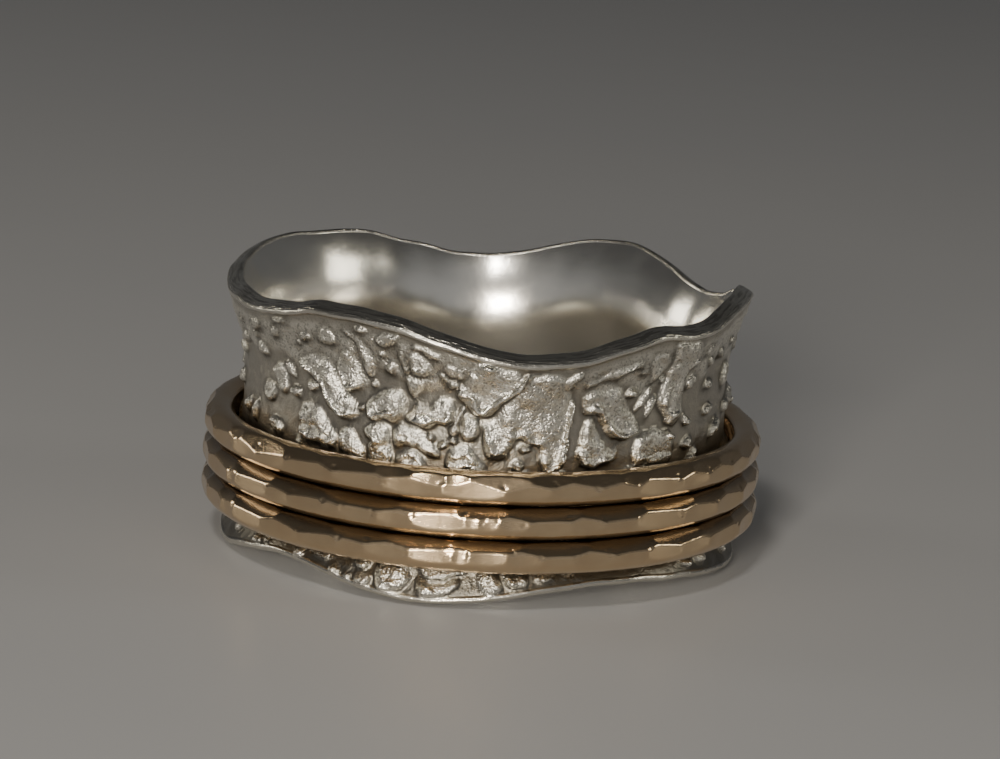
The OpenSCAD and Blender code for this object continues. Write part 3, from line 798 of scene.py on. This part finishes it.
def make_band(shape):
    """The band as one closed mesh: up the outside, over the lip, down the inside and under the foot."""
    band = Band(shape)
    edge = shape.band.edge
    fine = int(shape.band.columns * FRONT_SHARE)
    angle = np.concatenate([
        np.linspace(-FRONT, FRONT, fine, endpoint=False),
        np.linspace(FRONT, 360 - FRONT, shape.band.columns - fine, endpoint=False),
    ])
    ring = round_the_hole(shape.valley_r, angle, 0 * angle)
    top = band.lip_z(angle) + ripples(ring, ON_LIP)
    bottom = np.maximum(band.foot_z(angle) + ripples(ring, ON_FOOT), band.foot_rise)
    shares = np.concatenate([
        np.linspace(start, end, rows, endpoint=False)
        for (start, rows), (end, _) in zip(OUTER_ROWS, OUTER_ROWS[1:])
    ] + [[1]])
    low, high = bottom + edge, top - edge
    z = low[:, None] + (high - low)[:, None] * shares[None, :]
    outer_r, island, shade_and_tarnish, worn = band.outside(angle[:, None] + 0 * z, z, top[:, None], bottom[:, None])
    lip_r, lip_z = band.edge_and_bend(band.lip, top)
    foot_r, foot_z = band.edge_and_bend(band.foot, bottom)
    down = np.linspace(0, 1, HOLE_STEPS + 2)[None, 1:-1]
    hole_z = lip_z[:, -1:] + (foot_z[:, -1:] - lip_z[:, -1:]) * down
    hole_r = np.full(hole_z.shape, shape.bore_r)

    radius = np.concatenate([outer_r, lip_r, hole_r, foot_r[:, ::-1]], axis=1)
    height = np.concatenate([z, lip_z, hole_z, foot_z[:, ::-1]], axis=1)
    points = round_the_hole(radius, angle[:, None] + 0 * radius, height)
    rows = z.shape[1]
    inside = slice(rows + EDGE_STEPS, -EDGE_STEPS)
    marks = {name: np.zeros(radius.shape) for name in BAND_MARKS}
    marks["island"][:, :rows] = island
    marks["shade_and_tarnish"][:, :rows] = shade_and_tarnish
    marks["edge"][:, :rows] = worn
    marks["edge"][:, rows:] = 1
    marks["edge"][:, inside] = 0
    marks["inside"][:, inside] = 1
    marks["across"][:, rows:rows + EDGE_STEPS], _ = edge_profile()
    return closed_mesh("silver_band", points, marks)


def silver_finish(colours):
    """Silver: grainy bright islands, dull valleys, tarnish and painted shade in the crevices, a scratched
    lip, polished inside.

    The numbers are the noises' sizes in millimetres and shares, set from the photograph.
    """
    finish = Finish("silver")
    island, shade_and_tarnish, edge, inside, across = (finish.mark(name) for name in BAND_MARKS)
    cloudy = finish.noise(size=0.7, detail=3.0)
    grain = finish.noise(size=0.09, detail=1.5, roughness=0.6)
    waves = finish.noise(size=2.4, detail=1.0)
    bright = (island + 0.5 * edge + inside).above(0.10, 0.80)
    shade = finish.mix(bright, opaque(colours.valley), opaque(colours.silver))
    shade = finish.mix(cloudy.above(0.40, 0.75) * 0.25, shade, opaque(colours.valley))
    pores = grain.above(0.50, 0.64) * (0.25 + 0.75 * island) * (1 - inside) * (1 - edge)
    shade = finish.mix(pores * 0.55, shade, opaque(colours.shade_and_tarnish))
    shade = finish.mix(inside, shade, opaque(colours.polished))
    long_way = finish.scaled(finish.place, (0.15, 0.15, 0.5))
    streaks = finish.noise(size=0.13, detail=1.0, place=long_way, across=across * 1.3)
    scratches = streaks.above(0.50, 0.58) * across.above(0.02, 0.20)
    # Tarnish and painted shade in the crevices and under the wire rings, and tarnish in the lip's
    # scratches.
    shade = finish.mix(shade_and_tarnish * 0.90 + scratches * 0.40, shade, opaque(colours.shade_and_tarnish))
    finish.set("Base Color", shade)
    finish.set("Roughness", 0.29 + 0.08 * cloudy - 0.13 * inside - 0.08 * edge - 0.05 * island)
    relief = grain * (0.35 + 0.75 * island - 0.60 * edge - 0.35 * inside) * -1
    relief = relief + 0.85 * streaks * edge + waves * 0.6 * inside + cloudy * 0.8 * (1 - 0.8 * inside)
    finish.bump(relief, depth=0.055)
    return finish.material


# Gold wire rings

# Lean of the hammer's marks on the upper shoulders, in degrees.
SHOULDER_LEAN = 48
TOP_SHOULDER_LEAN = 38
# Lean of the marks in front, on the outside and on the top ring's shoulder, and where they are.
FRONT_LEAN = 7
TOP_FRONT_LEAN = 29
FRONT_MARKS = (-16, 9)
# How far the lean strays, in degrees, and the share of the stray that the marks in front keep.
STRAY = Values(outside=3.5, shoulder=4.5, in_front=0.4)
# Marks behind, in degrees: length, how far it varies and how near to the first mark they end. All
# marks: share by which the depth varies, and how far round the ring one reaches, in degrees.
MARK = Values(length=10, varies=3.5, near_first=8, depth_varies=0.5, reach=40)
# Share of the wire's radius that a cut leaves, how softly cuts meet and the depth from which a place
# is all flat, in mm, and the least cosine that a cut is divided by.
CUT = Values(leaves=0.3, blend=0.01, flat=0.05, cosine=0.05)
# Nicks where two marks meet: turn is their height on the wire. The last is in radians, the others in
# degrees.
NICK = Values(copies=2, stray=1.2, turn=18, turn_varies=22, length=0.35, length_varies=0.15, half=0.09)
# Sine of the height on the wire from which painted shade darkens it where two rings meet, and its range.
GROOVE_SHADE = Values(start=0.50, grows=0.45)


def marks_round(chart, seed):
    """Boundaries of the hammer's marks all the way round: the chart's, and uneven ones behind."""
    marks = list(chart)
    at = marks[-1]
    k = 0
    while at < marks[0] + 360 - MARK.near_first:
        at += MARK.length + MARK.varies * scatter(k, seed)
        marks.append(at)
        k += 1
    return marks


def hammer_marks(node, seed):
    """The hammer's marks on a wire ring: start and end angle, lean in degrees and share of the depth."""
    on_top = node == SPINNERS[-1]
    shoulder = TOP_SHOULDER_LEAN if on_top else SHOULDER_LEAN
    front_lean = TOP_FRONT_LEAN if on_top else FRONT_LEAN
    for chart, lean, stray in ((OUTER_MARKS, 0, STRAY.outside), (SHOULDER_MARKS, shoulder, STRAY.shoulder)):
        marks = marks_round(chart[node], seed)
        for k, (start, end) in enumerate(zip(marks, marks[1:] + [marks[0] + 360])):
            turned = lean + stray * scatter(k, seed + 3)
            if FRONT_MARKS[0] < (start + end) / 2 < FRONT_MARKS[1] and on_top == (lean > 0):
                turned = front_lean + STRAY.in_front * (turned - lean)
            yield start, end, turned, 1 + MARK.depth_varies * scatter(k, seed + 6)


def nicks(node, seed, theta, turn):
    """Small nicks where two marks meet, each as a share of its depth over the ring and the wire."""
    for k, at in enumerate(marks_round(OUTER_MARKS[node], seed)):
        for copy in range(NICK.copies):
            spot = seed + 10 + 7 * copy
            aside = (theta - at - NICK.stray * scatter(k, spot) + 180) % 360 - 180
            off = turn - math.radians(NICK.turn + NICK.turn_varies * scatter(k, spot + 1))
            size = NICK.length + NICK.length_varies * scatter(k, spot + 2)
            yield np.exp(-((aside / size) ** 2))[:, None] * np.exp(-((off / NICK.half) ** 2))[None, :]


def make_spinner(node, seed, shape):
    """One hammered wire ring: a round wire cut back to the hammer's flats and the mandrel's flat."""
    wire_r, ring_r, sizes = shape.wire_r, shape.ring_r, shape.wire
    theta = np.arange(sizes.columns) * 360 / sizes.columns - 180
    turn = np.arange(sizes.rows) * 2 * math.pi / sizes.rows
    cos_t, sin_t = np.cos(turn)[None, :], np.sin(turn)[None, :]
    reach = np.full((sizes.columns, sizes.rows), wire_r)
    for start, end, lean, depth in hammer_marks(node, seed):
        lean = math.radians(lean)
        aside = np.radians((theta - (start + end) / 2 + 180) % 360 - 180)
        here = np.abs(aside) < math.radians(MARK.reach)
        facing = np.cos(aside[here])[:, None]
        toward = cos_t * math.cos(lean) * facing + sin_t * math.sin(lean)
        half = math.radians(end - start) / 2
        away = ring_r * math.cos(lean) * math.cos(half) + wire_r
        hollow = sizes.blow_dish * depth * np.clip(1 - (aside[here] / half) ** 2, -1, 1)[:, None]
        room = away - sizes.blow_depth * depth - hollow - ring_r * math.cos(lean) * facing
        cut = np.where(toward > CUT.cosine, room / np.maximum(toward, CUT.cosine), 2 * wire_r)
        reach[here] = soft_least(reach[here], np.maximum(cut, CUT.leaves * wire_r), CUT.blend)
    flat = smooth((wire_r - reach) / CUT.flat)
    for nick in nicks(node, seed, theta, turn):
        reach -= sizes.nick_depth * nick
    inward = (ring_r - shape.run_r) / np.maximum(-cos_t, CUT.cosine)
    inward = np.where(cos_t < -CUT.cosine, inward, 2 * wire_r)
    reach = soft_least(reach, inward + 0 * reach, CUT.blend)
    radius = ring_r + reach * cos_t
    height = middle_height(node) + reach * sin_t
    points = round_the_hole(radius, theta[:, None] + 0 * radius, height)
    # Painted shade on the wire where it meets the next ring.
    groove_shade = np.zeros(radius.shape)
    for sign, last in ((1, SPINNERS[-1]), (-1, SPINNERS[0])):
        if node != last:
            groove_shade += smooth((sign * sin_t - GROOVE_SHADE.start) / GROOVE_SHADE.grows)
    return closed_mesh("gold_" + node, points, {"flat": flat, "groove_shade": groove_shade})


def gold_finish(colours):
    """Gold-filled wire: polished, with faint cloudy tarnish, fine scratches and painted shade in the
    grooves between the rings.
    """
    finish = Finish("gold")
    flat = finish.mark("flat")
    groove_shade = finish.mark("groove_shade")
    cloudy = finish.noise(size=0.9, detail=3.0)
    grain = finish.noise(size=0.10, detail=2.0)
    lines = finish.noise(size=0.06, detail=2.0, place=finish.scaled(finish.place, (0.25, 0.25, 3)))
    shade = finish.mix(cloudy.above(0.35, 0.80) * 0.35, opaque(colours.gold), opaque(colours.tarnish))
    # Painted shade where the wire rings meet.
    finish.set("Base Color", finish.mix(groove_shade * 0.65, shade, opaque(colours.groove_shade)))
    finish.set("Roughness", 0.12 + 0.08 * cloudy + 0.03 * flat)
    finish.bump(grain * 0.15 * flat + lines * 0.15 + cloudy, depth=0.020)
    return finish.material


# Stage

# The photograph in pixels: its size, its focal length and the middle of the stack of wire rings.
PHOTO_SIZE = (1000, 759)
FOCAL_PX = 3667.5
STACK_PX = (481.1, 455.1)
# The camera: elevation and roll in radians, distance from the stack in metres, width of the sensor.
CAMERA_ELEVATION = 0.2393
CAMERA_ROLL = 0.0547
CAMERA_DISTANCE = 0.145
SENSOR_MM = 36
# Half the side of the floor, in metres.
FLOOR_HALF = 1.5
# Colour of the sky, its light low down and higher up, and the sines of the heights between which it
# changes.
SKY_COLOUR = (0.98, 0.99, 1.0)
SKY_LOW = 0.085
SKY_HIGH = 0.05
SKY_BEND = (0.36, 0.54)
# Added light of the sky in front: how much, how far to the front and how high it reaches.
SKY_FRONT = 0.17
SKY_FRONT_FROM = (0.20, 0.80)
SKY_FRONT_TO = (0.66, 0.82)
# Lights: azimuth from the front to the right and elevation in degrees, distance, width and height in
# metres, power in watts, colour.
LIGHTS = {
    "key": (-13, 48, 0.25, 0.030, 0.030, 0.13, (1.0, 0.95, 0.86)),
    "front": (-10, 15, 0.25, 0.050, 0.045, 0.37, (1.0, 0.92, 0.79)),
    "window_left": (-108, 13, 0.30, 0.08, 0.09, 0.095, (1.0, 0.94, 0.80)),
    "window_right": (87, 18, 0.30, 0.09, 0.08, 0.075, (1.0, 0.95, 0.80)),
}


def stack_middle():
    """The middle of the stack of wire rings, in metres."""
    return Vector((0, 0, middle_height("spinner_middle") * MM))


def make_camera():
    """The camera at the photograph's angle, turned so that the stack of wire rings lies at its place."""
    stack = stack_middle()
    e = CAMERA_ELEVATION
    place = stack + CAMERA_DISTANCE * Vector((0, -math.cos(e), math.sin(e)))
    forward = (stack - place).normalized()
    right = Vector((1, 0, 0))
    up = right.cross(forward)
    dx, dy = PHOTO_SIZE[0] / 2 - STACK_PX[0], PHOTO_SIZE[1] / 2 - STACK_PX[1]
    c, s = math.cos(CAMERA_ROLL), math.sin(CAMERA_ROLL)
    aim = (forward * FOCAL_PX + right * (dx * c + dy * s) + up * (dx * s - dy * c)).normalized()
    side = aim.cross(up * c - right * s).normalized()
    top = side.cross(aim)
    data = bpy.data.cameras.new("camera")
    data.sensor_width = SENSOR_MM
    data.lens = FOCAL_PX / PHOTO_SIZE[0] * SENSOR_MM
    data.clip_start = MM
    camera = add_object("camera", data)
    camera.matrix_world = Matrix((side, top, -aim)).transposed().to_4x4()
    camera.location = place
    bpy.context.scene.camera = camera


def make_light(name, azimuth, elevation, distance, width, height, power, shade):
    """A soft light turned to the ring."""
    a, e = math.radians(azimuth), math.radians(elevation)
    outward = Vector((math.sin(a) * math.cos(e), -math.cos(a) * math.cos(e), math.sin(e)))
    data = bpy.data.lights.new(name, "AREA")
    data.shape = "RECTANGLE"
    data.size = width
    data.size_y = height
    data.energy = power
    data.color = shade
    light = add_object(name, data)
    light.location = stack_middle() + distance * outward
    light.rotation_euler = (-outward).to_track_quat("-Z", "Y").to_euler()


def make_floor(colours):
    """A wide, plain, pale floor."""
    mesh = bpy.data.meshes.new("floor")
    corners = [(x * FLOOR_HALF, y * FLOOR_HALF, 0) for x, y in ((-1, -1), (1, -1), (1, 1), (-1, 1))]
    mesh.from_pydata(corners, [], [(0, 1, 2, 3)])
    floor = add_object("floor", mesh)
    finish = Finish("pale_floor", metallic=0.0)
    finish.set("Base Color", opaque(colours.floor))
    finish.set("Roughness", 0.42 + 0.10 * finish.noise(size=9.0, detail=2.0))
    mesh.materials.append(finish.material)


def make_world():
    """Soft light from all round, brightest in front and low down."""
    world = bpy.data.worlds.new("studio")
    world.use_nodes = True
    bpy.context.scene.world = world
    tree = world.node_tree
    place = add_node(tree, "ShaderNodeTexCoord")
    split = add_node(tree, "ShaderNodeSeparateXYZ", None, {0: Signal(tree, place.outputs["Generated"])})
    rise = Signal(tree, split.outputs["Z"])
    light = SKY_LOW - (SKY_LOW - SKY_HIGH) * rise.above(*SKY_BEND)
    ahead = 0 - Signal(tree, split.outputs["Y"])
    light = light + SKY_FRONT * ahead.above(*SKY_FRONT_FROM) * (1 - rise.above(*SKY_FRONT_TO))
    backdrop = tree.nodes["Background"]
    plug(tree, backdrop.inputs["Color"], opaque(SKY_COLOUR))
    plug(tree, backdrop.inputs["Strength"], light)


# Operators, panel and registration

class RING_OT_band(bpy.types.Operator):
    """Make the silver band with its relief and waves"""

    bl_idname = "ring.band"
    bl_label = "Silver band"

    def execute(self, context):
        piece = make_band(Shape(context.scene))
        piece.data.materials.append(silver_finish(context.scene.ring_colours))
        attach(piece, "band")
        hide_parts("band")
        return {"FINISHED"}


class RING_OT_spinners(bpy.types.Operator):
    """Make the three hammered gold wire rings"""

    bl_idname = "ring.spinners"
    bl_label = "Gold wire rings"

    def execute(self, context):
        shape = Shape(context.scene)
        gold = gold_finish(context.scene.ring_colours)
        for seed, node in enumerate(SPINNERS, start=1):
            piece = make_spinner(node, seed, shape)
            piece.data.materials.append(gold)
            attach(piece, BODY_OF[node])
            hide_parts(node)
        return {"FINISHED"}


class RING_OT_stage(bpy.types.Operator):
    """Make the pale floor, the soft light and the camera"""

    bl_idname = "ring.stage"
    bl_label = "Floor, light and camera"

    def execute(self, context):
        make_floor(context.scene.ring_colours)
        make_world()
        for name, values in LIGHTS.items():
            make_light(name, *values)
        make_camera()
        return {"FINISHED"}


class RING_PT_panel(bpy.types.Panel):
    """Lists the pieces of the ring"""

    bl_idname = "RING_PT_panel"
    bl_label = "Spinner ring"
    bl_space_type = "VIEW_3D"
    bl_region_type = "UI"
    bl_category = "Ring"

    def draw(self, context):
        for operator in (RING_OT_band, RING_OT_spinners, RING_OT_stage):
            self.layout.operator(operator.bl_idname)


CLASSES = (BandSizes, SpinnerSizes, Colours, RING_OT_band, RING_OT_spinners, RING_OT_stage, RING_PT_panel)


def register():
    for cls in CLASSES:
        bpy.utils.register_class(cls)
    bpy.types.Scene.band_sizes = PointerProperty(type=BandSizes)
    bpy.types.Scene.spinner_sizes = PointerProperty(type=SpinnerSizes)
    bpy.types.Scene.ring_colours = PointerProperty(type=Colours)


def unregister():
    del bpy.types.Scene.ring_colours
    del bpy.types.Scene.spinner_sizes
    del bpy.types.Scene.band_sizes
    for cls in reversed(CLASSES):
        bpy.utils.unregister_class(cls)


def main():
    register()
    bpy.ops.ring.band()
    bpy.ops.ring.spinners()
    bpy.ops.ring.stage()


if __name__ == "__main__":
    main()
